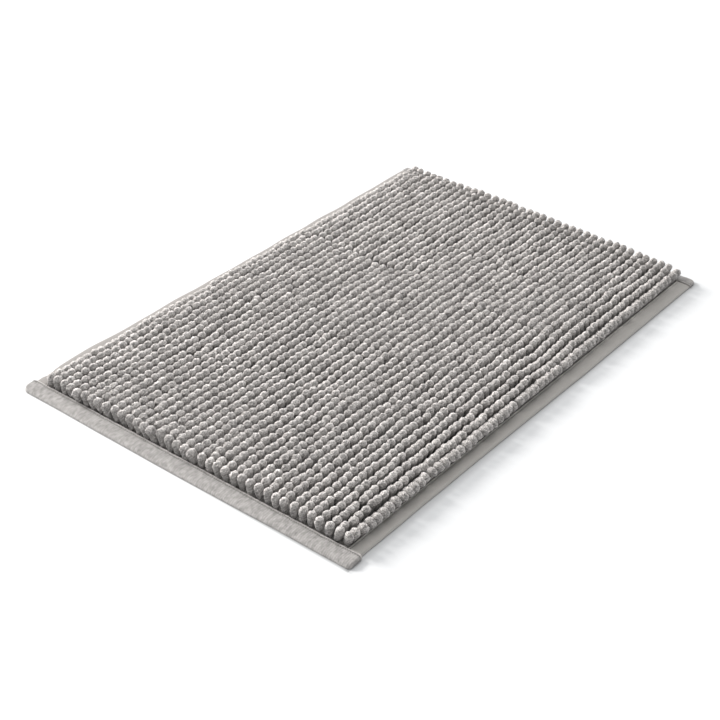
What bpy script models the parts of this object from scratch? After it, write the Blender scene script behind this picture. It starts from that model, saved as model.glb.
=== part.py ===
"""A tufted bath mat with rows of chenille pile, two folded hems and two folded end bindings.

The mat lies flat on z = 0 with its long side along X, and the origin is at the bottom centre.
Lengths are in metres. Layers that touch on the real mat are kept GAP apart.
"""

import math

import bmesh
import bpy

# Overall sizes
MAT_LENGTH = 0.800
MAT_WIDTH = 0.500
MAT_HEIGHT = 0.023
GAP = 0.0003

# Layers, from the floor up
BACKING_THICKNESS = 0.0015
GROUND_THICKNESS = 0.0012
GROUND_BOTTOM = BACKING_THICKNESS + GAP
GROUND_TOP = GROUND_BOTTOM + GROUND_THICKNESS

# Long hems, folded round the ground cloth and set in a little from the ends of the bindings
HEM_WIDTH = 0.0200
HEM_CLOTH = 0.0009
HEM_SET_IN = 0.001
HEM_OUTER_Y = MAT_WIDTH / 2 - HEM_SET_IN
HEM_TOP = GROUND_TOP + GAP + HEM_CLOTH
HEM_HALF_LENGTH = MAT_LENGTH / 2 - 0.0018

# End bindings, folded round the ends of the ground cloth and the hems
BINDING_WIDTH = 0.021
BINDING_WALL = 0.0012
BINDING_COVER = 0.0008
BINDING_TOP = HEM_TOP + GAP + BINDING_COVER
BINDING_INNER_X = MAT_LENGTH / 2 - BINDING_WIDTH

# Pile
ROW_COUNT = 38
ROW_PITCH = 0.0121
ROW_LENGTH = 0.754
ROW_BASE_HALF = 0.0042
ROW_HEAD_HALF = 0.0054
ROW_LEAN = 0.0010
NEAR_ROW_LEAN = -0.0055
FAR_ROW_LEAN = 0.0
ROW_ROUNDING_STEPS = 6

# Seam threads
THREAD_RADIUS = 0.0003
THREAD_EDGE_DISTANCE = 0.0025
THREAD_BEVEL_STEPS = 1

# Colour (linear RGB), roughness
MATERIALS = {
    "pile_yarn": ((0.50, 0.47, 0.45), 0.95),
    "ground_cloth": ((0.28, 0.26, 0.25), 0.95),
    "hem_cloth": ((0.31, 0.29, 0.28), 0.85),
    "binding_tape": ((0.50, 0.47, 0.45), 0.9),
    "seam_thread": ((0.53, 0.50, 0.48), 0.7),
    "backing_rubber": ((0.55, 0.54, 0.52), 0.6),
}


def clear_scene():
    for old in list(bpy.data.objects):
        bpy.data.objects.remove(old, do_unlink=True)


def make_material(name):
    colour, roughness = MATERIALS[name]
    material = bpy.data.materials.new(name)
    material.use_nodes = True
    shader = material.node_tree.nodes["Principled BSDF"]
    shader.inputs["Base Color"].default_value = (*colour, 1.0)
    shader.inputs["Roughness"].default_value = roughness
    shader.inputs["Metallic"].default_value = 0.0
    return material


def extrude_profile(name, profile, length, material):
    """A solid of constant section: the closed (across, up) profile runs along X, centred on x = 0."""
    shape = bmesh.new()
    start = [shape.verts.new((-length / 2, across, up)) for across, up in profile]
    face = shape.faces.new(start)
    moved = bmesh.ops.extrude_face_region(shape, geom=[face])["geom"]
    ends = [item for item in moved if isinstance(item, bmesh.types.BMVert)]
    bmesh.ops.translate(shape, verts=ends, vec=(length, 0.0, 0.0))
    bmesh.ops.recalc_face_normals(shape, faces=shape.faces)
    mesh = bpy.data.meshes.new(name)
    shape.to_mesh(mesh)
    shape.free()
    mesh.materials.append(material)
    part = bpy.data.objects.new(name, mesh)
    bpy.context.collection.objects.link(part)
    return part


def box_profile(half_width, bottom, top):
    return [(-half_width, bottom), (half_width, bottom), (half_width, top), (-half_width, top)]


def folded_profile(width, top, wall, slot_bottom, slot_top, round_steps=4):
    """A cloth edge folded in a U: the fold is rounded and faces +across, and the slot opens inwards."""
    radius = top / 2
    profile = [(-width, 0.0)]
    for step in range(round_steps + 1):
        angle = math.radians(-90 + 180 * step / round_steps)
        profile.append((-radius + radius * math.cos(angle), radius + radius * math.sin(angle)))
    profile += [(-width, top), (-width, slot_top), (-wall, slot_top)]
    profile += [(-wall, slot_bottom), (-width, slot_bottom)]
    return profile


def cut_box(part, name, low, high):
    """Cut a box, given by its lowest and highest corners, out of a part."""
    size = [top - bottom for bottom, top in zip(low, high)]
    centre = [(top + bottom) / 2 for bottom, top in zip(low, high)]
    shape = bmesh.new()
    bmesh.ops.create_cube(shape, size=1.0)
    bmesh.ops.scale(shape, verts=shape.verts, vec=size)
    bmesh.ops.translate(shape, verts=shape.verts, vec=centre)
    mesh = bpy.data.meshes.new(name)
    shape.to_mesh(mesh)
    shape.free()
    cutter = bpy.data.objects.new(name, mesh)
    cutter.hide_render = True
    cutter.display_type = "WIRE"
    bpy.context.collection.objects.link(cutter)
    cut = part.modifiers.new(name, "BOOLEAN")
    cut.operation = "DIFFERENCE"
    cut.solver = "EXACT"
    cut.object = cutter


def add_backing(material):
    half_width = HEM_OUTER_Y - HEM_WIDTH - GAP
    profile = box_profile(half_width, 0.0, BACKING_THICKNESS)
    extrude_profile("anti_slip_backing", profile, 2 * (BINDING_INNER_X - GAP), material)


def add_ground_cloth(material):
    half_width = HEM_OUTER_Y - HEM_CLOTH - GAP
    profile = box_profile(half_width, GROUND_BOTTOM, GROUND_TOP)
    extrude_profile("ground_cloth", profile, MAT_LENGTH - 2 * (BINDING_WALL + GAP), material)


def add_hem(name, side, material):
    """A long hem. Inside the end bindings its lower ply is trimmed away, so the ends lie flat."""
    profile = folded_profile(HEM_WIDTH, HEM_TOP, HEM_CLOTH, BACKING_THICKNESS, GROUND_TOP + GAP)
    profile = [(side * (HEM_OUTER_Y + across), up) for across, up in profile]
    hem = extrude_profile(name, profile, 2 * HEM_HALF_LENGTH, material)
    trim_start = BINDING_INNER_X - GAP
    for end in (-1, 1):
        x_low, x_high = sorted((end * trim_start, end * MAT_LENGTH))
        low = (x_low, -MAT_WIDTH, -MAT_HEIGHT)
        high = (x_high, MAT_WIDTH, GROUND_BOTTOM)
        cut_box(hem, f"{name}_trim_{end:+d}", low, high)


def add_binding(name, end, material):
    """An end binding. Its upper ply has a pocket at each corner, where it passes over a hem."""
    profile = folded_profile(BINDING_WIDTH, BINDING_TOP, BINDING_WALL, BACKING_THICKNESS, GROUND_TOP + GAP)
    binding = extrude_profile(name, profile, MAT_WIDTH, material)
    binding.rotation_euler.z = math.radians(-90 * end)
    binding.location.x = end * MAT_LENGTH / 2
    pocket_inner = HEM_OUTER_Y - HEM_WIDTH - GAP
    for side in (-1, 1):
        x_low, x_high = sorted((0.0, end * (HEM_HALF_LENGTH + GAP)))
        y_low, y_high = sorted((side * pocket_inner, side * MAT_WIDTH))
        low = (x_low, y_low, GROUND_TOP)
        high = (x_high, y_high, HEM_TOP + GAP)
        cut_box(binding, f"{name}_pocket_{side:+d}", low, high)


def row_lean(index):
    """How far a row's top leans sideways. The row nearest the right hem leans out over it."""
    if index == 0:
        return FAR_ROW_LEAN
    if index == ROW_COUNT - 1:
        return NEAR_ROW_LEAN
    return ROW_LEAN


def row_profile(centre, lean):
    """Section of one pile row: a narrow foot on the ground cloth that widens to a round head."""
    bottom = GROUND_TOP + GAP
    head_centre = MAT_HEIGHT - ROW_HEAD_HALF
    profile = [(centre - ROW_BASE_HALF, bottom), (centre + ROW_BASE_HALF, bottom)]
    for step in range(ROW_ROUNDING_STEPS + 1):
        angle = math.pi * step / ROW_ROUNDING_STEPS
        across = centre + lean + ROW_HEAD_HALF * math.cos(angle)
        profile.append((across, head_centre + ROW_HEAD_HALF * math.sin(angle)))
    return profile


def add_pile_rows(material):
    """Row 1 is at +Y. Each row is one chenille yarn, so each is one solid."""
    for index in range(ROW_COUNT):
        centre = ((ROW_COUNT - 1) / 2 - index) * ROW_PITCH
        profile = row_profile(centre, row_lean(index))
        extrude_profile(f"pile_row_{index + 1:02d}", profile, ROW_LENGTH, material)


def add_seam_thread(name, start, end, material):
    """A line of topstitching: a thin round thread from one point to another."""
    curve = bpy.data.curves.new(name, "CURVE")
    curve.dimensions = "3D"
    curve.bevel_depth = THREAD_RADIUS
    curve.bevel_resolution = THREAD_BEVEL_STEPS
    curve.use_fill_caps = True
    curve.materials.append(material)
    line = curve.splines.new("POLY")
    line.points.add(1)
    line.points[0].co = (*start, 1.0)
    line.points[1].co = (*end, 1.0)
    thread = bpy.data.objects.new(name, curve)
    bpy.context.collection.objects.link(thread)


def add_seams(material):
    rise = GAP + THREAD_RADIUS
    end_x = BINDING_INNER_X + THREAD_EDGE_DISTANCE
    end_z = BINDING_TOP + rise
    end_half = MAT_WIDTH / 2 - THREAD_EDGE_DISTANCE
    for name, end in (("front", -1), ("back", 1)):
        start, stop = (end * end_x, -end_half, end_z), (end * end_x, end_half, end_z)
        add_seam_thread(f"seam_thread_{name}", start, stop, material)
    side_y = HEM_OUTER_Y - HEM_WIDTH + THREAD_EDGE_DISTANCE
    side_z = HEM_TOP + rise
    side_half = BINDING_INNER_X - GAP
    for name, side in (("left", 1), ("right", -1)):
        start, stop = (-side_half, side * side_y, side_z), (side_half, side * side_y, side_z)
        add_seam_thread(f"seam_thread_{name}", start, stop, material)


def main():
    clear_scene()
    materials = {name: make_material(name) for name in MATERIALS}
    add_backing(materials["backing_rubber"])
    add_ground_cloth(materials["ground_cloth"])
    add_hem("long_hem_left", 1, materials["hem_cloth"])
    add_hem("long_hem_right", -1, materials["hem_cloth"])
    add_binding("end_binding_front", -1, materials["binding_tape"])
    add_binding("end_binding_back", 1, materials["binding_tape"])
    add_pile_rows(materials["pile_yarn"])
    add_seams(materials["seam_thread"])


main()
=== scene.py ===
import math

import bpy
import numpy as np
from mathutils import Matrix, Vector


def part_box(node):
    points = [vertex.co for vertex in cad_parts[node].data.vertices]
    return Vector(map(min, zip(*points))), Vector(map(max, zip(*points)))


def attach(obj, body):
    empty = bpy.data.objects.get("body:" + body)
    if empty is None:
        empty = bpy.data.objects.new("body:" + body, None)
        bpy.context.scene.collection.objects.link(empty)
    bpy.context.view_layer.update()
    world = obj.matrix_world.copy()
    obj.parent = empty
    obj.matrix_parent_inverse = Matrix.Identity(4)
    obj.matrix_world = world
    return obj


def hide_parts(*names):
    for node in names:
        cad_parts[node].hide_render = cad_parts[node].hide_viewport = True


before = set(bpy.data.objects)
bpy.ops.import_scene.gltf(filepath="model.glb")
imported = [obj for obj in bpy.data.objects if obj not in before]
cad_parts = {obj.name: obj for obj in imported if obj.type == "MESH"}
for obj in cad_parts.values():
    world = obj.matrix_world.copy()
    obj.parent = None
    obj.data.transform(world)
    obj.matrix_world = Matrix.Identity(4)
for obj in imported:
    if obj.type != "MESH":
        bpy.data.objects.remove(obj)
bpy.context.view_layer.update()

MM = 0.001
MAT_HALF_LENGTH = 400.0 * MM
MAT_HALF_WIDTH = 250.0 * MM

# Pile: each row is one chenille yarn, tufted into a line of short fingers
ROW_COUNT = 38
ROW_PITCH = 12.1 * MM
FINGERS_PER_ROW = 65
HEAD_HALF_ALONG = 6.3 * MM
HEAD_HALF_ACROSS = 4.5 * MM
CAD_HEAD_HALF = 5.4 * MM
FOOT_HALF = 4.0 * MM
HEAD_FLATNESS = 0.92
STEM_RISES = (0.0, 0.22, 0.40, 0.54, 0.66, 0.76, 0.85, 0.93, 1.0)
HEAD_RING_ANGLES = (12, 24, 36, 48, 59, 69, 79)
FULL_WIDTH_AT = 0.60
RIBS = 13
COLUMNS_PER_RIB = 2
RIB_ANGLE = 33
RIB_HEIGHT = 0.32 * MM
FUZZ_HEIGHT = 0.26 * MM
FIRST_FINGER_X = -374.1 * MM
LAST_FINGER_X = 373.8 * MM
FRONT_LEAN = 1.8 * MM
PILE_SKEW = 2.2 * MM

# Woven and coated layers
GROUND_SET_IN_X = 4.5 * MM
GROUND_SET_IN_Y = 4.0 * MM
WEAVE_STEP = 5.0 * MM
BACKING_STEP_X = 8.0 * MM
BACKING_STEP_Y = 3.0 * MM
HEM_OUTER_Y = 249.0 * MM
HEM_END_X = 392.5 * MM
HEM_STEP = 1.5 * MM
TAPE_STEP = 0.6 * MM
TAPE_RIB_PITCH = 2.8 * MM

# Folded edges, in millimetres. Widths, lips and seams are measured in from the fold.
HEM_WIDTH = 20.0
HEM_LIP_IN = 19.1
HEM_SEAM_IN = 17.5
HEM_TOP = 4.2
TAPE_WIDTH = 21.0
TAPE_LIP_IN = 20.3
TAPE_SEAM_IN = 18.4
TAPE_TOP = 5.7
TAPE_FOLD_X = 400.0
TAPE_MIDDLE_UP = 2.4
TAPE_END_ROUNDING = 2.4

# Topstitching
TAPE_STITCH_Z = 5.35 * MM
HEM_STITCH_Z = 4.1 * MM
STITCH_PITCH = 3.2 * MM
STITCH_LENGTH = 2.7 * MM
THREAD_RADIUS = 0.32 * MM

# Colour (linear RGB)
YARN_COLOUR = (0.407, 0.386, 0.373)
TAPE_COLOUR = (0.290, 0.277, 0.268)
# One hem cloth in two copies: the left painted darker as painted shade where the soft box lights it, the
# right painted lighter as painted light where the pile shades it.
LEFT_HEM_COLOUR_PAINTED_DARKER = (0.270, 0.254, 0.242)
RIGHT_HEM_COLOUR_PAINTED_LIGHTER = (0.350, 0.335, 0.316)
GROUND_COLOUR = (0.22, 0.208, 0.197)
THREAD_COLOUR = (0.40, 0.38, 0.364)
BACKING_COLOUR = (0.45, 0.437, 0.42)
FLOOR_COLOUR = (0.632, 0.637, 0.644)
SOFT_BOX_COLOUR = (1.0, 0.985, 0.965)
DOME_COLOUR = (0.985, 0.995, 1.0)

# Studio
FLOOR_HALF = 14.0
SOFT_BOX_HEADING = (-0.20, 0.98, 0.0)
SOFT_BOX_ELEVATION = 27
SOFT_BOX_DISTANCE = 5.0
TOP_PANEL_PLACE = (0.2, 0.3, 2.4)
DOME_STRENGTH = 0.67
CAMERA_PLACE = (-1.4350, -0.9692, 1.1175)
CAMERA_YAW, CAMERA_PITCH, CAMERA_ROLL = 34.98, 33.907, 4.117
CAMERA_LENS = 78.915


# ---------------------------------------------------------------- shapes

def smooth_field(seed, x, y, shortest, longest, waves=24):
    """A smooth random surface of zero mean and unit spread, read at the points (x, y)."""
    rng = np.random.default_rng(seed)
    total = np.zeros(np.broadcast(x, y).shape)
    for _ in range(waves):
        heading = rng.uniform(0, 2 * math.pi)
        wavelength = math.exp(rng.uniform(math.log(shortest), math.log(longest)))
        phase = rng.uniform(0, 2 * math.pi)
        along = (x * math.cos(heading) + y * math.sin(heading)) / wavelength
        total = total + np.sin(2 * math.pi * along + phase)
    return total / math.sqrt(waves / 2)


def smoothstep(value):
    """0 below 0, 1 above 1, and a smooth rise between."""
    value = np.clip(value, 0.0, 1.0)
    return value * value * (3 - 2 * value)


def bump_at(value, centre, width):
    """A smooth hill of height 1 round a centre."""
    return np.exp(-(((value - centre) / width) ** 2))


def grid_quads(rows, columns, closed_columns=False):
    """Faces of a grid of points numbered row by row, each split on its 0-2 diagonal."""
    row = np.arange(rows - 1)[:, None]
    column = np.arange(columns if closed_columns else columns - 1)[None, :]
    following = (column + 1) % columns
    corners = (row * columns + following, (row + 1) * columns + following)
    corners += ((row + 1) * columns + column, row * columns + column)
    return np.stack(np.broadcast_arrays(*corners), axis=-1).reshape(-1, 4)


def signed_volume(points, quads):
    """The volume inside a closed mesh: positive when its faces look outwards."""
    a, b, c, d = (points[quads[:, k]] for k in range(4))
    return float((a * np.cross(b, c)).sum() + (a * np.cross(c, d)).sum()) / 6


def build_piece(name, points, quads, triangles, material):
    """A smooth-shaded mesh object from arrays of points and faces."""
    mesh = bpy.data.meshes.new(name)
    mesh.vertices.add(len(points))
    mesh.vertices.foreach_set("co", points.astype(np.float32).ravel())
    corners = np.concatenate([quads.ravel(), triangles.ravel()]).astype(np.int32)
    starts = np.concatenate([
        4 * np.arange(len(quads)),
        4 * len(quads) + 3 * np.arange(len(triangles)),
    ]).astype(np.int32)
    mesh.loops.add(len(corners))
    mesh.loops.foreach_set("vertex_index", corners)
    mesh.polygons.add(len(starts))
    mesh.polygons.foreach_set("loop_start", starts)
    mesh.update(calc_edges=True)
    mesh.shade_smooth()
    mesh.materials.append(material)
    piece = bpy.data.objects.new(name, mesh)
    bpy.context.collection.objects.link(piece)
    return piece


def store(piece, name, values):
    """Keep one number per vertex on the mesh, for the material to read."""
    attribute = piece.data.attributes.new(name, "FLOAT", "POINT")
    attribute.data.foreach_set("value", values.astype(np.float32).ravel())


def thick_sheet(name, outer, inner, material):
    """A closed sheet from two matching grids of points: its outer and its inner surface."""
    rows, columns = outer.shape[:2]
    count = rows * columns
    points = np.concatenate([outer.reshape(-1, 3), inner.reshape(-1, 3)])
    face = grid_quads(rows, columns)
    number = np.arange(count).reshape(rows, columns)
    rim = np.concatenate([number[0, :], number[1:, -1], number[-1, -2::-1], number[-2:0:-1, 0]])
    beyond = np.roll(rim, -1)
    edge = np.stack([beyond, rim, rim + count, beyond + count], axis=-1)
    quads = np.concatenate([face, face[:, ::-1] + count, edge])
    if signed_volume(points, quads) < 0:
        quads = quads[:, ::-1]
    return build_piece(name, points, quads, np.zeros((0, 3), int), material)


def place(piece, node):
    """Every piece rides on the mat's one body and stands for one CAD node."""
    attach(piece, "root")
    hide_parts(node)
    return piece


# ---------------------------------------------------------------- materials

class Nodes:
    """Short calls for building one material's node tree."""

    def __init__(self, name, roughness, sheen=0.0, specular=0.25):
        self.material = bpy.data.materials.new(name)
        self.material.use_nodes = True
        self.tree = self.material.node_tree
        self.shader = self.tree.nodes["Principled BSDF"]
        self.shader.inputs["Roughness"].default_value = roughness
        self.shader.inputs["Sheen Weight"].default_value = sheen
        self.shader.inputs["Sheen Roughness"].default_value = 0.5
        self.shader.inputs["Specular IOR Level"].default_value = specular
        self.place = self.tree.nodes.new("ShaderNodeTexCoord").outputs["Object"]

    def plug(self, value, socket):
        if isinstance(value, bpy.types.NodeSocket):
            self.tree.links.new(value, socket)
        else:
            socket.default_value = value

    def maths(self, operation, first, second=0.0):
        node = self.tree.nodes.new("ShaderNodeMath")
        node.operation = operation
        self.plug(first, node.inputs[0])
        self.plug(second, node.inputs[1])
        return node.outputs[0]

    def about_one(self, value, middle, gain):
        """1 + gain * (value - middle), a factor that brightens or darkens a colour."""
        centred = self.maths("SUBTRACT", value, middle)
        return self.maths("ADD", self.maths("MULTIPLY", centred, gain), 1.0)

    def product(self, factors):
        total = factors[0]
        for factor in factors[1:]:
            total = self.maths("MULTIPLY", total, factor)
        return total

    def stretched(self, scale):
        node = self.tree.nodes.new("ShaderNodeVectorMath")
        node.operation = "MULTIPLY"
        self.tree.links.new(self.place, node.inputs[0])
        node.inputs[1].default_value = scale
        return node.outputs[0]

    def noise(self, size, detail=2.0, stretch=(1.0, 1.0, 1.0)):
        """Noise whose lumps are about this size, in metres."""
        node = self.tree.nodes.new("ShaderNodeTexNoise")
        node.inputs["Scale"].default_value = 1.0 / size
        node.inputs["Detail"].default_value = detail
        self.tree.links.new(self.stretched(stretch), node.inputs["Vector"])
        return node.outputs["Fac"]

    def threads(self, direction, pitch, wander=1.5):
        """Parallel threads lying across one axis, each this far from the next."""
        node = self.tree.nodes.new("ShaderNodeTexWave")
        node.bands_direction = direction
        node.inputs["Scale"].default_value = 2 * math.pi / (20 * pitch)
        node.inputs["Distortion"].default_value = wander
        node.inputs["Detail Scale"].default_value = 1.0
        self.tree.links.new(self.place, node.inputs["Vector"])
        return node.outputs["Fac"]

    def axes(self):
        """The X and the Y of a point."""
        node = self.tree.nodes.new("ShaderNodeSeparateXYZ")
        self.tree.links.new(self.place, node.inputs[0])
        return node.outputs["X"], node.outputs["Y"]

    def ramp(self, value, near, far, value_near, value_far):
        """A smooth change from one value to another, as the input goes from near to far."""
        node = self.tree.nodes.new("ShaderNodeMapRange")
        node.interpolation_type = "SMOOTHSTEP"
        node.inputs["From Min"].default_value = near
        node.inputs["From Max"].default_value = far
        node.inputs["To Min"].default_value = value_near
        node.inputs["To Max"].default_value = value_far
        self.tree.links.new(value, node.inputs["Value"])
        return node.outputs["Result"]

    def stored(self, name):
        node = self.tree.nodes.new("ShaderNodeAttribute")
        node.attribute_name = name
        return node.outputs["Fac"]

    def colour(self, base, factors):
        node = self.tree.nodes.new("ShaderNodeVectorMath")
        node.operation = "SCALE"
        node.inputs[0].default_value = base
        self.tree.links.new(self.product(factors), node.inputs["Scale"])
        self.tree.links.new(node.outputs[0], self.shader.inputs["Base Color"])

    def bump(self, height, distance, strength=1.0):
        node = self.tree.nodes.new("ShaderNodeBump")
        node.inputs["Distance"].default_value = distance
        node.inputs["Strength"].default_value = strength
        self.tree.links.new(height, node.inputs["Height"])
        self.tree.links.new(node.outputs["Normal"], self.shader.inputs["Normal"])


def yarn_material():
    """Chenille: a velvety twisted yarn, with painted shade in its rib valleys and at its roots, and painted
    highlight on its crests.
    """
    nodes = Nodes("chenille_yarn", roughness=0.95, sheen=0.20)
    fuzz = nodes.noise(1.7 * MM, detail=1.5)
    specks = nodes.noise(3.6 * MM, detail=1.0)
    broad = nodes.noise(45 * MM, detail=1.0)
    nodes.colour(YARN_COLOUR, [
        nodes.about_one(fuzz, 0.5, 2.3),
        nodes.about_one(specks, 0.5, 0.5),
        nodes.about_one(broad, 0.5, 0.16),
        # Painted shade in the rib valleys and painted highlight on the rib crests.
        nodes.about_one(nodes.stored("rib"), 0.0, 0.38),
        # Random flecks of tone, which also paint the raised points of the rough surface paler, as painted
        # highlight.
        nodes.about_one(nodes.stored("fleck_and_painted_highlight"), 0.0, 0.32),
        # Painted shade: the colour darkens down towards each finger's foot, where the pile shades itself.
        nodes.about_one(nodes.stored("rise"), 0.85, 1.30),
        # Each finger's random tone, with painted light on the back end of the pile.
        nodes.stored("tone"),
    ])
    height = nodes.maths("ADD", fuzz, nodes.maths("MULTIPLY", specks, 0.8))
    nodes.bump(height, 0.8 * MM, 0.9)
    return nodes.material


def woven_material(name, base, pitch, depth, roughness):
    """Plain cloth: threads both ways at one pitch, fine slubs and slow changes of tone."""
    nodes = Nodes(name, roughness=roughness, sheen=0.12)
    warp = nodes.threads("X", pitch)
    weft = nodes.threads("Y", pitch)
    slub = nodes.noise(2.5 * MM, detail=3.0)
    broad = nodes.noise(40 * MM, detail=1.0)
    crossing = nodes.maths("MULTIPLY", warp, weft)
    nodes.colour(base, [
        nodes.about_one(crossing, 0.3, 0.12),
        nodes.about_one(slub, 0.5, 0.14),
        nodes.about_one(broad, 0.5, 0.10),
        # The hems' painted light and shade along their seams, lips and folds.
        nodes.about_one(nodes.stored("seam"), 0.0, 0.45),
    ])
    nodes.bump(nodes.maths("ADD", crossing, nodes.maths("MULTIPLY", slub, 0.4)), depth)
    return nodes.material


def tape_material():
    """Ribbed binding tape: close crosswise ribs, heathered, with painted highlight on its raised ribs and lip
    and painted shade in its rib valleys and seam groove.
    """
    nodes = Nodes("binding_tape_cloth", roughness=0.88, sheen=0.15)
    weft = nodes.threads("Y", 0.75 * MM, wander=1.0)
    heather = nodes.noise(3.4 * MM, detail=2.5, stretch=(0.5, 1.0, 1.0))
    broad = nodes.noise(30 * MM, detail=2.0)
    nodes.colour(TAPE_COLOUR, [
        nodes.about_one(weft, 0.5, 0.06),
        nodes.about_one(heather, 0.5, 1.2),
        nodes.about_one(broad, 0.5, 0.14),
        # Painted shade in the rib valleys and painted highlight on the rib crests.
        nodes.about_one(nodes.stored("rib"), 0.0, 0.09),
        # Painted light and shade along the seam, lip and fold.
        nodes.about_one(nodes.stored("seam"), 0.0, 0.62),
    ])
    nodes.bump(nodes.maths("ADD", weft, heather), 0.12 * MM)
    return nodes.material


def thread_material():
    """Spun polyester sewing thread, a little shinier than the cloth."""
    nodes = Nodes("sewing_thread", roughness=0.6, sheen=0.1)
    plies = nodes.noise(0.35 * MM, detail=1.0)
    nodes.colour(THREAD_COLOUR, [nodes.about_one(plies, 0.5, 0.30)])
    nodes.bump(plies, 0.08 * MM)
    return nodes.material


def latex_material():
    """Sprayed latex coat: matt, pebbled, with slow changes of tone."""
    nodes = Nodes("latex_coat", roughness=0.62)
    pebble = nodes.noise(1.1 * MM, detail=2.0)
    broad = nodes.noise(35 * MM, detail=2.0)
    nodes.colour(BACKING_COLOUR, [
        nodes.about_one(pebble, 0.5, 0.18),
        nodes.about_one(broad, 0.5, 0.12),
    ])
    nodes.bump(pebble, 0.25 * MM)
    return nodes.material


# ---------------------------------------------------------------- pile

def hill(x, y, centre_x, centre_y, reach_x, reach_y):
    """A smooth hill of height 1; centre and reach are in millimetres."""
    from_x = (x / MM - centre_x) / reach_x
    from_y = (y / MM - centre_y) / reach_y
    return np.exp(-from_x ** 2 - from_y ** 2)


def packing_folds(x, y):
    """How far old packing folds push the heads along and across the rows.

    Each fold is a line across the mat: its x, its slant, the y of its middle and its reach, and then how
    far the heads beyond it lie sideways and how far those on either side part. Lengths are in
    millimetres."""
    folds = (
        (-207, -0.27, 50, 110, -4.0, 1.6),
        (18, 0.0, 20, 120, 1.6, 1.4),
        (111, 0.02, 150, 110, -4.5, 1.8),
        (113, 0.0, -130, 110, 2.6, 1.6),
        (213, 0.0, 0, 150, -2.0, 1.5),
        (-39, 0.0, -224, 14, 0.6, 3.4),
    )
    along = np.zeros(np.broadcast(x, y).shape)
    across = np.zeros_like(along)
    for place_x, slant, middle_y, reach, sideways, parting in folds:
        beyond = x / MM - place_x - slant * (y / MM - middle_y)
        strength = np.exp(-((y / MM - middle_y) / reach) ** 4)
        side = np.tanh(beyond / 4.0)
        across += strength * sideways * (0.5 + 0.5 * side) * np.exp(-np.clip(beyond, 0, None) / 90)
        along += strength * parting * side * np.exp(-np.abs(beyond) / 16)
    return along * MM, across * MM


def brushed(x, y):
    """How far whole patches of pile lie across the rows, brushed to one side or the other."""
    patches = 3.0 * hill(x, y, -360, 60, 60, 100) - 3.4 * hill(x, y, -275, 215, 50, 60)
    patches += 2.0 * hill(x, y, 0, 0, 120, 260) + 2.8 * hill(x, y, 215, -150, 90, 80)
    patches -= 1.8 * hill(x, y, 335, -40, 60, 60)
    return patches * MM + 0.7 * MM * smooth_field(1, x, y, 0.07, 0.16)


def row_leans(x, first, row, last_row, towards_back):
    """How far whole rows lean across the mat: the far row, the near rows, and the last over its hem."""
    from_far_side = -2.8 * MM * np.exp(-row / 1.2)
    outer_rows = -5.2 * np.exp(-(ROW_COUNT - 2 - row) / 2.2) * (1 - 0.65 * towards_back)
    outer_rows = outer_rows - 1.6 * towards_back * smoothstep((row - 22) / 8)
    to_near_side = outer_rows * MM * (1 - last_row)
    near_hang = -1.4 * MM * np.tanh(-x / 0.10) + 4.0 * MM * np.exp(-(x - first) / 0.018)
    return from_far_side, to_near_side, last_row * near_hang


def back_end_lean(row, last_row, from_back, row_spread):
    """How far the fingers near the back end lean out over the binding, the far rows least."""
    reach = (2.5 + 7.5 * smoothstep(row / 14) - 6.0 * last_row) * MM * row_spread
    return reach * np.exp(-(from_back / (18 * MM)) ** 1.4)


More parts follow.
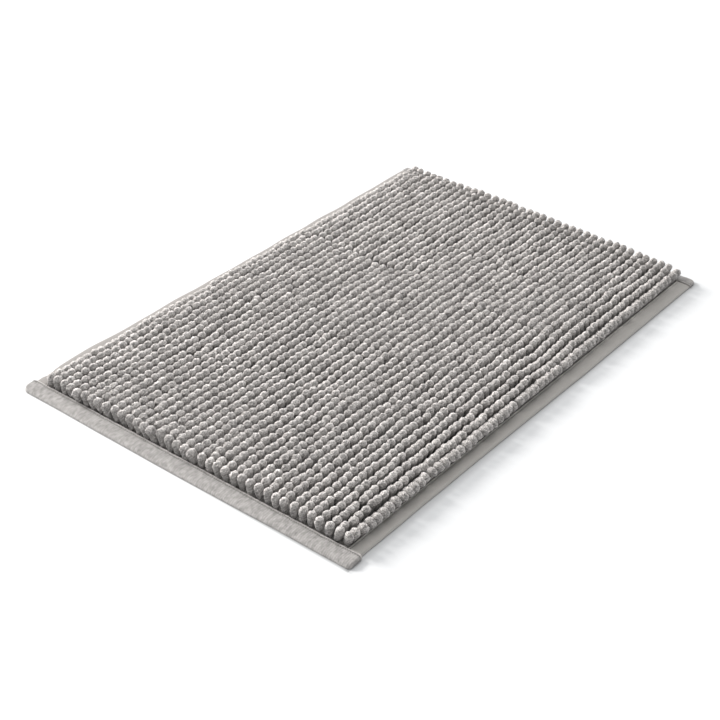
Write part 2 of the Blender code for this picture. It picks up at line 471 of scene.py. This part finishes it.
def pile_layout():
    """Where each finger stands, how its head leans, and its size, as arrays of rows by fingers."""
    rng = np.random.default_rng(38)
    boxes = [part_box(f"pile_row_{number:02d}") for number in range(1, ROW_COUNT + 1)]
    low, high = boxes[0]
    shape = (ROW_COUNT, FINGERS_PER_ROW)
    row = np.arange(ROW_COUNT)[:, None]
    finger = np.arange(FINGERS_PER_ROW)[None, :]
    last_row = np.where(row == ROW_COUNT - 1, 1.0, 0.0)
    front = np.where(finger == 0, 1.0, 0.0)
    back = np.where(finger == FINGERS_PER_ROW - 1, 1.0, 0.0)

    foot_y = ((ROW_COUNT - 1) / 2 - np.arange(ROW_COUNT))[:, None] * ROW_PITCH
    head_y = np.array([row_low.y + CAD_HEAD_HALF for row_low, _ in boxes])[:, None]
    first = FIRST_FINGER_X - PILE_SKEW * foot_y / foot_y[0]
    x = first + (LAST_FINGER_X - first) * np.linspace(0, 1, FINGERS_PER_ROW)[None, :]
    towards_back = smoothstep((x - 0.12) / 0.22)
    from_back = np.clip(LAST_FINGER_X - x, 0, None)

    # The last row's fingers are rounder and lie straighter. Here and there a finger strays.
    long_way = (1 - 0.26 * last_row) * (1 - 0.12 * front)
    short_way = (1 + 0.10 * last_row) * (1 + 0.04 * front)
    loose = 1 - 0.6 * last_row
    strays = (rng.random(shape) < 0.03) & (back < 0.5)
    stray_y = np.where(strays, rng.normal(0, 1.3 * MM, shape), 0.0)
    stray_x = np.where(strays, rng.normal(0, 1.5 * MM, shape), 0.0)

    # Lean across the rows
    fold_along, fold_across = packing_folds(x, foot_y)
    wobble = 0.5 * MM * smooth_field(2, x, foot_y, 0.025, 0.06)
    patch_lean = (brushed(x, foot_y) + fold_across) * (1 - last_row) + wobble + stray_y
    from_far_side, to_near_side, near_hang = row_leans(x, first, row, last_row, towards_back)
    lean_y = head_y - foot_y + from_far_side + to_near_side + loose * patch_lean + near_hang

    # Lean along the rows
    row_spread = rng.normal(1.0, 0.04, (ROW_COUNT, 1))
    back_lean = back_end_lean(row, last_row, from_back, row_spread)
    uneven = 0.8 * MM * smooth_field(3, x, foot_y, 0.025, 0.07)
    inside = smoothstep(from_back / (30 * MM))
    lean_x = inside * (uneven + fold_along + loose * stray_x) + back_lean
    lean_x = lean_x - FRONT_LEAN * front

    uneven_top = 0.4 * MM * smooth_field(4, x, foot_y, 0.04, 0.15)
    # Painted light: the back end fingers, and the pile towards the back end on the far rows, are painted
    # paler.
    painted_light_paler = 1 + 0.16 * back + 0.06 * towards_back * (1 - row / ROW_COUNT)
    # The painted shade at the roots is lifted on the front and back fingers and the last two rows, whose feet
    # stand open: painted light.
    open_side = np.maximum(np.maximum(front, 0.9 * back), 0.75 * (row >= ROW_COUNT - 2))
    return {
        "x": x + rng.normal(0, 0.35 * MM, shape) * (1 - back) + FRONT_LEAN * front,
        "y": foot_y + 0.3 * wobble + rng.normal(0, 0.2 * MM, shape),
        "lean_y": lean_y + rng.normal(0, 0.30 * MM, shape),
        "lean_x": lean_x + rng.normal(0, 0.5 * MM, shape) * (1 - back),
        "base": np.full(shape, low.z - 0.1 * MM),
        "top": high.z - 0.2 * MM + uneven_top + rng.normal(0, 0.3 * MM, shape),
        "half_along": HEAD_HALF_ALONG * rng.normal(1.0, 0.03, shape) * long_way,
        "half_across": HEAD_HALF_ACROSS * rng.normal(1.0, 0.03, shape) * short_way,
        "half_foot": FOOT_HALF * rng.normal(1.0, 0.06, shape) * (1 - 0.2 * last_row),
        "turn": rng.uniform(0, 2 * math.pi, shape),
        "rib_angle": np.radians(RIB_ANGLE) * rng.normal(1.0, 0.10, shape),
        "tone": rng.normal(1.0, 0.03, shape) * painted_light_paler,
        "open_side": 0.72 * open_side * np.ones(shape),
    }


def finger_points(row, rng):
    """The points of one row's fingers, and what the yarn's material reads at each of them.

    That is its rib height, for painted shade in the rib valleys; its roughness, which also paints raised
    points paler as painted highlight; and how far up from the foot it counts as being, for painted shade at
    the roots."""
    columns = RIBS * COLUMNS_PER_RIB
    stem = np.array(STEM_RISES)
    head = np.radians(HEAD_RING_ANGLES)
    rise = np.concatenate([stem, np.ones(len(head))])
    cap = np.concatenate([np.zeros(len(stem)), head])
    rings = len(rise)

    def per_finger(key):
        return row[key][:, None, None]

    swell = smoothstep(rise / FULL_WIDTH_AT)[None, :, None]
    round_off = np.cos(cap)[None, :, None]
    foot_half = per_finger("half_foot")
    along = (foot_half + (per_finger("half_along") - foot_half) * swell) * round_off
    across = (foot_half + (per_finger("half_across") - foot_half) * swell) * round_off
    head_height = per_finger("half_across") * HEAD_FLATNESS
    stem_height = per_finger("top") - per_finger("base") - head_height

    step = np.diff(rise)[None, :, None] * stem_height + np.diff(cap)[None, :, None] * head_height
    mean_half = (along + across)[:, 1:] / 2
    twist = step / (np.maximum(mean_half, 0.25 * HEAD_HALF_ALONG) * np.tan(per_finger("rib_angle")))
    twist = np.concatenate([np.zeros_like(twist[:, :1]), np.cumsum(twist, axis=1)], axis=1)
    column = np.arange(columns)[None, None, :]
    angle = 2 * math.pi * column / columns + twist + per_finger("turn")

    ridge = np.cos(2 * math.pi * column / COLUMNS_PER_RIB) * np.ones((len(row["x"]), rings, 1))
    fade = np.clip(round_off / 0.5, 0.0, 1.0)
    rough = np.clip(rng.normal(0.0, 1.0, ridge.shape), -1.8, 1.8)
    swelling = RIB_HEIGHT * fade * ridge * (1 + 0.35 * rough) + FUZZ_HEIGHT * rough
    wide = 1 + swelling / np.maximum(along, 0.3 * HEAD_HALF_ALONG)

    height = rise[None, :, None] * stem_height
    lean_x = per_finger("lean_x") * rise[None, :, None] ** 2
    lean_y = per_finger("lean_y") * rise[None, :, None] ** 2
    slope_x = 2 * per_finger("lean_x") * rise[None, :, None] / stem_height
    slope_y = 2 * per_finger("lean_y") * rise[None, :, None] / stem_height
    out_x = along * wide * np.cos(angle)
    out_y = across * wide * np.sin(angle)
    up = (head_height + fade * swelling) * np.sin(cap)[None, :, None]
    length = np.sqrt(1 + slope_x ** 2 + slope_y ** 2)
    x = per_finger("x") + lean_x + out_x + up * slope_x / length
    y = per_finger("y") + lean_y + out_y + up * slope_y / length
    z = per_finger("base") + height + (up - out_x * slope_x - out_y * slope_y) / length
    points = np.stack(np.broadcast_arrays(x, y, z), axis=-1)

    rim_slope_x, rim_slope_y, rim_length = slope_x[:, -1, 0], slope_y[:, -1, 0], length[:, -1, 0]
    pole_up = head_height[:, 0, 0]
    pole = np.stack([
        row["x"] + row["lean_x"] + pole_up * rim_slope_x / rim_length,
        row["y"] + row["lean_y"] + pole_up * rim_slope_y / rim_length,
        row["base"] + stem_height[:, 0, 0] + pole_up / rim_length,
    ], axis=-1)
    foot = np.stack([row["x"], row["y"], row["base"]], axis=-1)
    # How far up each point counts, for the painted shade at the roots; open_side lifts it on open feet, as
    # painted light.
    travelled = (rise + np.sin(cap) * 0.35) / 1.35
    travelled = np.maximum(np.broadcast_to(travelled[None, :, None], ridge.shape), per_finger("open_side"))
    return points, foot, pole, {"rib": ridge * fade, "fleck_and_painted_highlight": rough, "rise": travelled}


def finger_faces(count, rings, columns):
    """Faces of a row of fingers: their sides, and fans that close each foot and head."""
    side = grid_quads(rings, columns, closed_columns=True)
    per_finger = rings * columns + 2
    around = np.arange(columns)
    following = (around + 1) % columns
    foot, pole = rings * columns, rings * columns + 1
    last = (rings - 1) * columns
    under = np.stack([following, around, np.full(columns, foot)], axis=-1)
    over = np.stack([last + around, last + following, np.full(columns, pole)], axis=-1)
    offset = (np.arange(count) * per_finger)[:, None, None]
    quads = (side[None, :, ::-1] + offset).reshape(-1, 4)
    triangles = (np.concatenate([under, over])[None] + offset).reshape(-1, 3)
    return quads, triangles


def add_pile_row(number, layout, material):
    """One row of yarn: its fingers, side by side, in one piece."""
    rng = np.random.default_rng(1000 + number)
    row = {key: values[number - 1] for key, values in layout.items()}
    points, foot, pole, looks = finger_points(row, rng)
    count, rings, columns = points.shape[:3]

    def with_ends(grid, at_foot, at_pole):
        flat = grid.reshape(count, rings * columns, -1)
        return np.concatenate([flat, at_foot.reshape(count, 1, -1), at_pole.reshape(count, 1, -1)], axis=1)

    everything = with_ends(points, foot, pole).reshape(-1, 3)
    quads, triangles = finger_faces(count, rings, columns)
    piece = build_piece(f"yarn_row_{number:02d}", everything, quads, triangles, material)
    nothing, full = np.zeros(count), np.ones(count)
    tone = np.broadcast_to(row["tone"][:, None, None], looks["rib"].shape)
    store(piece, "rib", with_ends(looks["rib"], nothing, nothing))
    store(piece, "fleck_and_painted_highlight", with_ends(looks["fleck_and_painted_highlight"], nothing, nothing))
    store(piece, "rise", with_ends(looks["rise"], nothing, full))
    store(piece, "tone", with_ends(tone, row["tone"], row["tone"]))
    place(piece, f"pile_row_{number:02d}")


# ---------------------------------------------------------------- layers

def spread(low, high, step):
    """Evenly spread numbers from low to high, about a step apart."""
    return np.linspace(low, high, max(2, round((high - low) / step) + 1))


def add_ground_cloth(material):
    """The woven cloth that the pile is tufted through, lying flat on the backing."""
    low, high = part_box("ground_cloth")
    half_x, half_y = high.x - GROUND_SET_IN_X, high.y - GROUND_SET_IN_Y
    lines_x, lines_y = spread(-half_x, half_x, WEAVE_STEP), spread(-half_y, half_y, WEAVE_STEP)
    x, y = np.meshgrid(lines_x, lines_y, indexing="ij")
    ripple = 0.05 * MM * smooth_field(11, x, y, 0.012, 0.05)
    top = np.stack([x, y, high.z - 0.1 * MM + ripple], axis=-1)
    bottom = np.stack([x, y, low.z + 0.1 * MM + ripple], axis=-1)
    cloth = place(thick_sheet("woven_ground", top, bottom, material), "ground_cloth")
    return cloth


def add_backing(material):
    """A thin latex coat. The lines of tufting show through it as low ridges."""
    low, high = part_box("anti_slip_backing")
    lines_x, lines_y = spread(low.x, high.x, BACKING_STEP_X), spread(low.y, high.y, BACKING_STEP_Y)
    x, y = np.meshgrid(lines_x, lines_y, indexing="ij")
    groove = 0.5 - 0.5 * np.cos(2 * math.pi * (y / ROW_PITCH + 0.5))
    uneven = 0.5 + 0.12 * smooth_field(12, x, y, 0.01, 0.03)
    top = np.stack([x, y, np.full(x.shape, high.z)], axis=-1)
    bottom = np.stack([x, y, low.z + 0.55 * MM * groove * uneven], axis=-1)
    coat = place(thick_sheet("latex_backing", top, bottom, material), "anti_slip_backing")
    return coat


def folded_section(top, wall, slot, samples, run, nose, steps=6):
    """Outer and inner line of a folded edge, as (distance in from the fold, height), in millimetres.

    The samples run over the flat part of the top. From there the top comes down to the nose of the fold,
    which turns under it."""
    flat = np.array(samples)
    over = np.radians(np.linspace(90, 0, steps + 1))[1:]
    under = np.radians(np.linspace(0, -90, steps + 1))[1:]
    slot_low, slot_high = slot
    middle = (slot_low + slot_high) / 2
    level = np.ones(len(flat))
    outer_in = np.concatenate([flat, run * (1 - np.cos(over)), nose * (1 - np.cos(under)), flat[::-1]])
    outer_up = np.concatenate([
        top * level,
        nose + (top - nose) * np.sin(over),
        nose * (1 + np.sin(under)),
        0 * level,
    ])
    inner_in = np.concatenate([
        flat,
        wall + (run - wall) * (1 - np.cos(over)),
        wall + nose * (1 - np.cos(under)),
        flat[::-1],
    ])
    inner_up = np.concatenate([
        slot_high * level,
        middle + (slot_high - middle) * np.sin(over),
        middle + (middle - slot_low) * np.sin(under),
        slot_low * level,
    ])
    return outer_in, outer_up, inner_in, inner_up


def hem_shift(side, x, inwards):
    """How far a hem lies in from its straight line, in millimetres.

    It is most at the fold and falls to nothing at the hem's inner edge."""
    wave = (0.45 + 0.35 * side) * smooth_field(31 + side, x, np.zeros_like(x), 0.06, 0.22)
    if side > 0:
        pinch = bump_at(x, -0.362, 0.020)
        tucked = 5.0 * smoothstep((-x - 0.372) / 0.014)
        wave = wave + 4.5 * pinch + 0.5 * pinch * np.cos(2 * math.pi * x / 0.011) - 1.0 + tucked
    else:
        wave = wave + 2.6 * smoothstep((0.15 - x) / 0.35)
    return wave * (1 - inwards / HEM_WIDTH) ** 1.5


def add_hem(side_name, side, material):
    """A long hem: the cloth folded over the ground cloth's edge and topstitched near its inner edge."""
    samples = (HEM_WIDTH, 19.85, 19.5, 18.9, 18.3, 17.9, 17.5, 17.1, 16.7, 15.9, 13.0, 10.0, 6.0, 4.2)
    section = folded_section(HEM_TOP, 0.9, (1.5, 3.3), samples, run=3.6, nose=1.7)
    outer_in, outer_up, inner_in, inner_up = section
    x = spread(-HEM_END_X, HEM_END_X, HEM_STEP)[:, None]
    on_top = (np.arange(len(outer_up)) < len(samples))[None, :]

    groove = bump_at(outer_in, HEM_SEAM_IN, 0.55)[None, :]
    lip = bump_at(outer_in, HEM_LIP_IN, 0.7)[None, :]
    edge_round = np.clip((outer_in - 19.5) / 0.5, 0, 1)[None, :] ** 2
    tension = 1 + 0.3 * np.cos(2 * math.pi * x / STITCH_PITCH)
    pucker = 0.10 * smooth_field(21 + side, x, outer_in[None, :] * MM, 0.010, 0.035)
    shallow = smoothstep((x - 0.02) / 0.20) * (side < 0)
    detail = 0.45 * lip - 0.65 * groove * tension * (1 - 0.8 * shallow) - 0.35 * edge_round + 0.7 * pucker
    crown = 0.25 * np.sin(np.pi * np.clip(outer_in / HEM_SEAM_IN, 0, 1))[None, :]
    up = outer_up[None, :] + np.where(on_top, detail + crown, 0.0)
    shift = hem_shift(side, x, outer_in[None, :])

    outer_across = side * (HEM_OUTER_Y - (outer_in[None, :] + shift) * MM)
    inner_across = side * (HEM_OUTER_Y - (inner_in[None, :] + shift) * MM)
    under_tape = (x < -375.0 * MM) | (x > 378.7 * MM)
    up = np.where(under_tape, np.maximum(up, 1.9), up)
    inner_up = inner_up[None, :] * np.ones_like(x)
    inner_up = np.where(under_tape, np.maximum(inner_up, 2.0), inner_up)
    outer = np.stack(np.broadcast_arrays(x, outer_across, up * MM), axis=-1)
    inner = np.stack(np.broadcast_arrays(x, inner_across, inner_up * MM), axis=-1)
    sheet = thick_sheet(f"hem_fold_{side_name}", outer, inner, material)
    hem = place(sheet, f"long_hem_{side_name}")
    # Painted light and shade for the cloth's colour: a painted highlight on the lip, painted shade in the
    # seam groove, painted light on the strip next to the pile on the right hem's back half, and painted light
    # on the fold's underside.
    painted_fold_light = np.where(on_top, 0.0, bump_at(outer_in[None, :], 0.0, 1.5) * (outer_up[None, :] < 2.4))
    painted_light_by_pile = np.clip((outer_in - 9.0) / 9.0, 0, 1)[None, :]
    line = (1.1 * lip - groove * (1 - shallow) + 0.9 * shallow * painted_light_by_pile) * on_top + 0.6 * painted_fold_light
    store(hem, "seam", np.concatenate([line.ravel(), line.ravel()]))


def tape_shift(end, y, share):
    """How far a binding lies in from the mat's end, in millimetres, at a share of its width from its fold."""
    wave = 0.2 * smooth_field(61 + end, np.zeros_like(y), y, 0.08, 0.25)
    if end > 0:
        return wave + 1.2 * (1 - share)
    fold = 2.8 * smoothstep(-y / 0.16) - 1.0
    inner_edge = 1.3 - 2.25 * y / 0.25
    return wave + fold * (1 - share) + inner_edge * share


def rounded_corner(from_end, radius):
    """How far a rounded corner lies in from its sides, this far from the end."""
    short = np.clip(radius - from_end, 0, radius)
    return radius - np.sqrt(radius ** 2 - short ** 2)


def add_binding(end_name, end, ends_y, corner_radii, material):
    """An end binding: ribbed tape folded over the mat's end, with round corners and a stitched lip."""
    samples = (TAPE_WIDTH, 20.9, 20.6, 20.2, 19.8, 19.4, 19.1, 18.75, 18.4, 18.05, 17.7, 17.2)
    samples += (15.0, 12.0, 9.5, 8.2)
    section = folded_section(TAPE_TOP, 1.2, (1.2, 3.2), samples, run=8.0, nose=0.5)
    outer_in, outer_up, inner_in, inner_up = section
    y_low, y_high = ends_y
    end_steps = np.array([0.0, 0.1, 0.3, 0.6, 1.0, 1.5]) * MM
    middle = spread(y_low + 2.0 * MM, y_high - 2.0 * MM, TAPE_STEP)
    y = np.concatenate([y_low + end_steps, middle, y_high - end_steps[::-1]])[:, None]
    on_top = (np.arange(len(outer_up)) < len(samples))[None, :]

    groove = bump_at(outer_in, TAPE_SEAM_IN, 0.75)[None, :]
    lip = bump_at(outer_in, TAPE_LIP_IN, 0.8)[None, :]
    edge_round = np.clip((outer_in - 20.4) / 0.6, 0, 1)[None, :] ** 2
    tension = 1 + 0.3 * np.cos(2 * math.pi * y / STITCH_PITCH)
    pucker = 0.14 * smooth_field(41 + end, y, outer_in[None, :] * MM, 0.008, 0.03)
    over_hem = (0.4 + 0.4 * (end > 0)) * smoothstep((np.abs(y) - 0.230) / 0.006)
    detail = 0.40 * lip - 0.60 * groove * tension - 0.8 * edge_round + pucker + over_hem
    up = outer_up[None, :] + np.where(on_top, detail, over_hem * outer_up[None, :] / TAPE_TOP)

    ridge = np.cos(2 * math.pi * y / TAPE_RIB_PITCH) * np.ones_like(up)
    rib = 0.07 * ridge * (1 + 0.25 * smooth_field(51 + end, y, outer_in[None, :] * MM, 0.003, 0.008))
    up = up + rib * (outer_up[None, :] > 2.0)

    from_end = np.minimum(y - y_low, y_high - y) / MM
    past_rounding = np.clip(TAPE_END_ROUNDING - from_end, 0, None) / TAPE_END_ROUNDING
    closing = np.sqrt(np.clip(1 - past_rounding ** 2, 0.01, 1))
    raised_slot = 1.2 * smoothstep((np.abs(y) - 0.229) / 0.003) * (inner_up > 2.0)[None, :]
    up = TAPE_MIDDLE_UP + (up - TAPE_MIDDLE_UP) * closing
    inner_height = TAPE_MIDDLE_UP + (inner_up[None, :] + raised_slot - TAPE_MIDDLE_UP) * closing * 0.85
    share = outer_in[None, :] / TAPE_WIDTH
    right_radius, left_radius = corner_radii
    from_right, from_left = (y - y_low) / MM, (y_high - y) / MM
    corner = rounded_corner(from_right, right_radius) + rounded_corner(from_left, left_radius)
    inner_corner = rounded_corner(from_right, 3.0) + rounded_corner(from_left, 7.0)
    shift = tape_shift(end, y, share) + corner * (1 - share) ** 2 - inner_corner * share ** 2
    outer_x = end * (TAPE_FOLD_X - outer_in[None, :] - shift) * MM
    inner_x = end * (TAPE_FOLD_X - inner_in[None, :] - shift) * MM
    outer = np.stack(np.broadcast_arrays(outer_x, y, up * MM), axis=-1)
    inner = np.stack(np.broadcast_arrays(inner_x, y, inner_height * MM), axis=-1)
    sheet = thick_sheet(f"binding_fold_{end_name}", outer, inner, material)
    tape = place(sheet, f"end_binding_{end_name}")
    store(tape, "rib", np.concatenate([ridge.ravel(), ridge.ravel()]))
    # Painted highlight on the lip, painted shade in the seam groove, and painted light on the fold's outer
    # face, for the cloth's colour.
    painted_fold_light = np.where(on_top, 0.0, bump_at(outer_in[None, :], 0.0, 1.5) * (outer_up[None, :] > 0.4))
    line = np.broadcast_to((0.9 * lip - groove) * on_top + 0.35 * painted_fold_light, ridge.shape)
    store(tape, "seam", np.concatenate([line.ravel(), line.ravel()]))


def add_stitches(name, node, line, material):
    """Topstitching along a line of points: short stitches that rise from the cloth and dip into it."""
    steps = np.linalg.norm(np.diff(line, axis=0), axis=1)
    travelled = np.concatenate([[0.0], np.cumsum(steps)])
    count = int(travelled[-1] / STITCH_PITCH)
    sides, rings = 6, 7
    along = np.linspace(-0.5, 0.5, rings)
    arch = 0.35 * MM * (1 - (2 * along) ** 2) - 0.25 * MM
    half = THREAD_RADIUS * np.sqrt(1 - (1.9 * along) ** 2)
    spin = 2 * math.pi * np.arange(sides) / sides
    middle = STITCH_PITCH * (np.arange(count) + 0.5) + (travelled[-1] - count * STITCH_PITCH) / 2
    at = middle[:, None] + STITCH_LENGTH * along[None, :]
    spine = np.stack([np.interp(at, travelled, line[:, axis]) for axis in range(3)], axis=-1)
    spine[..., 2] += arch[None, :]
    heading = spine[:, -1, :2] - spine[:, 0, :2]
    heading = heading / np.linalg.norm(heading, axis=1, keepdims=True)
    sideways = np.stack([-heading[:, 1], heading[:, 0], np.zeros(count)], axis=-1)
    upwards = np.array((0.0, 0.0, 1.0))
    section = np.cos(spin)[None, :, None] * sideways[:, None, :] + np.sin(spin)[None, :, None] * upwards
    points = spine[:, :, None, :] + half[None, :, None, None] * section[:, None, :, :]
    side_faces = grid_quads(rings, sides, closed_columns=True)[:, ::-1]
    offset = (np.arange(count) * rings * sides)[:, None, None]
    quads = (side_faces[None] + offset).reshape(-1, 4)
    first = np.arange(sides)
    last = (rings - 1) * sides + np.arange(sides)
    caps = [[first[0], first[k + 1], first[k]] for k in range(1, sides - 1)]
    caps += [[last[0], last[k], last[k + 1]] for k in range(1, sides - 1)]
    triangles = (np.array(caps)[None] + offset).reshape(-1, 3)
    thread = build_piece(name, points.reshape(-1, 3), quads, triangles, material)
    return place(thread, node)


def add_seams(material):
    """Topstitching along both end bindings and both long hems."""
    for end, side_name in ((-1, "front"), (1, "back")):
        y = np.linspace(-246, 243, 60) * MM
        x = end * (TAPE_FOLD_X - TAPE_SEAM_IN - tape_shift(end, y, TAPE_SEAM_IN / TAPE_WIDTH)) * MM
        line = np.stack([x, y, np.full_like(y, TAPE_STITCH_Z)], axis=-1)
        add_stitches(f"stitches_{side_name}", f"seam_thread_{side_name}", line, material)
    for side, side_name in ((1, "left"), (-1, "right")):
        x = np.linspace(-374, 377, 90) * MM
        y = side * (HEM_OUTER_Y - (HEM_SEAM_IN + hem_shift(side, x, HEM_SEAM_IN)) * MM)
        line = np.stack([x, y, np.full_like(x, HEM_STITCH_Z)], axis=-1)
        add_stitches(f"stitches_{side_name}", f"seam_thread_{side_name}", line, material)


# ---------------------------------------------------------------- studio

def floor_material():
    """Matt pale floor that glows, as painted light, well away from the mat, with a painted contact shadow
    along two of its edges.
    """
    nodes = Nodes("studio_floor", roughness=1.0, specular=0.0)
    x, y = nodes.axes()
    beyond_x = nodes.maths("SUBTRACT", nodes.maths("ABSOLUTE", x), MAT_HALF_LENGTH)
    beyond_y = nodes.maths("SUBTRACT", nodes.maths("ABSOLUTE", y), MAT_HALF_WIDTH)
    distance = nodes.maths("MAXIMUM", beyond_x, beyond_y)
    # Painted light: the floor glows more and more, well away from the mat.
    nodes.shader.inputs["Emission Color"].default_value = (1, 1, 1, 1)
    glow = nodes.ramp(distance, 0.06, 0.25, 0.0, 0.35)
    nodes.tree.links.new(glow, nodes.shader.inputs["Emission Strength"])

    # Painted contact shadow: the floor's colour is darker within about a centimetre of the right hem and a
    # few millimetres of the front tape.
    from_hem = nodes.maths("ABSOLUTE", nodes.maths("SUBTRACT", -0.249, y))
    from_tape = nodes.maths("ABSOLUTE", nodes.maths("SUBTRACT", -0.399, x))
    past_left = nodes.maths("SUBTRACT", y, 0.238)
    past_right = nodes.maths("SUBTRACT", -0.2495, y)
    past_hem = nodes.maths("MULTIPLY", beyond_x, 4.0)
    past_tape = nodes.maths("MULTIPLY", nodes.maths("MAXIMUM", past_left, past_right), 4.0)
    painted_shadow_by_hem = nodes.ramp(nodes.maths("MAXIMUM", from_hem, past_hem), -0.002, 0.010, 0.72, 1.0)
    painted_shadow_by_tape = nodes.ramp(nodes.maths("MAXIMUM", from_tape, past_tape), -0.002, 0.0045, 0.42, 1.0)
    nodes.colour(FLOOR_COLOUR, [painted_shadow_by_hem, painted_shadow_by_tape])
    return nodes.material


def add_floor():
    """A large floor, just under the mat."""
    half = FLOOR_HALF
    mesh = bpy.data.meshes.new("studio_floor")
    corners = [(-half, -half, 0), (half, -half, 0), (half, half, 0), (-half, half, 0)]
    mesh.from_pydata(corners, [], [(0, 1, 2, 3)])
    mesh.materials.append(floor_material())
    floor = bpy.data.objects.new("studio_floor", mesh)
    floor.location.z = -0.2 * MM
    bpy.context.collection.objects.link(floor)


def add_round_light(name, location, size, energy, colour):
    """A round soft light that faces the middle of the mat."""
    data = bpy.data.lights.new(name, "AREA")
    data.shape = "DISK"
    data.size = size
    data.energy = energy
    data.color = colour
    light = bpy.data.objects.new(name, data)
    light.location = location
    light.rotation_mode = "QUATERNION"
    light.rotation_quaternion = location.to_track_quat("Z", "Y")
    bpy.context.collection.objects.link(light)


def add_light():
    """A soft box low on the mat's left, a weaker panel overhead, and an even pale dome."""
    heading = Vector(SOFT_BOX_HEADING).normalized()
    elevation = math.radians(SOFT_BOX_ELEVATION)
    low = heading * SOFT_BOX_DISTANCE * math.cos(elevation)
    high = Vector((0, 0, SOFT_BOX_DISTANCE * math.sin(elevation)))
    add_round_light("soft_box", low + high, 1.60, 392.0, SOFT_BOX_COLOUR)
    add_round_light("top_panel", Vector(TOP_PANEL_PLACE), 2.4, 33.0, (1.0, 1.0, 1.0))
    world = bpy.data.worlds.new("studio")
    world.use_nodes = True
    background = world.node_tree.nodes["Background"]
    background.inputs["Color"].default_value = (*DOME_COLOUR, 1)
    background.inputs["Strength"].default_value = DOME_STRENGTH
    bpy.context.scene.world = world


def add_camera():
    """A long lens, from the front right corner, looking down at the mat."""
    yaw, pitch, roll = (math.radians(angle) for angle in (CAMERA_YAW, CAMERA_PITCH, CAMERA_ROLL))
    ahead = Vector((math.cos(yaw) * math.cos(pitch), math.sin(yaw) * math.cos(pitch), -math.sin(pitch)))
    level = ahead.cross(Vector((0, 0, 1))).normalized()
    above = level.cross(ahead)
    right = math.cos(roll) * level + math.sin(roll) * above
    up = -math.sin(roll) * level + math.cos(roll) * above
    data = bpy.data.cameras.new("camera")
    data.lens = CAMERA_LENS
    data.sensor_width = 36.0
    data.clip_end = 50.0
    camera = bpy.data.objects.new("camera", data)
    turned = Matrix((right, up, -ahead)).transposed().to_4x4()
    camera.matrix_world = Matrix.Translation(CAMERA_PLACE) @ turned
    bpy.context.collection.objects.link(camera)
    bpy.context.scene.camera = camera


def main():
    yarn = yarn_material()
    layout = pile_layout()
    for number in range(1, ROW_COUNT + 1):
        add_pile_row(number, layout, yarn)
    backing = add_backing(latex_material())
    weave = woven_material("ground_weave", GROUND_COLOUR, 1.2 * MM, 0.3 * MM, 0.95)
    ground = add_ground_cloth(weave)
    for side_name, side, colour in (("left", 1, LEFT_HEM_COLOUR_PAINTED_DARKER), ("right", -1, RIGHT_HEM_COLOUR_PAINTED_LIGHTER)):
        cloth = woven_material(f"hem_weave_{side_name}", colour, 0.6 * MM, 0.10 * MM, 0.85)
        add_hem(side_name, side, cloth)
    tape = tape_material()
    add_binding("front", -1, (-249.8 * MM, 247.5 * MM), (5.0, 9.0), tape)
    add_binding("back", 1, (-249.8 * MM, 249 * MM), (9.0, 4.0), tape)
    add_seams(thread_material())
    add_floor()
    add_light()
    add_camera()
    bpy.context.scene.view_settings.view_transform = "Standard"


main()
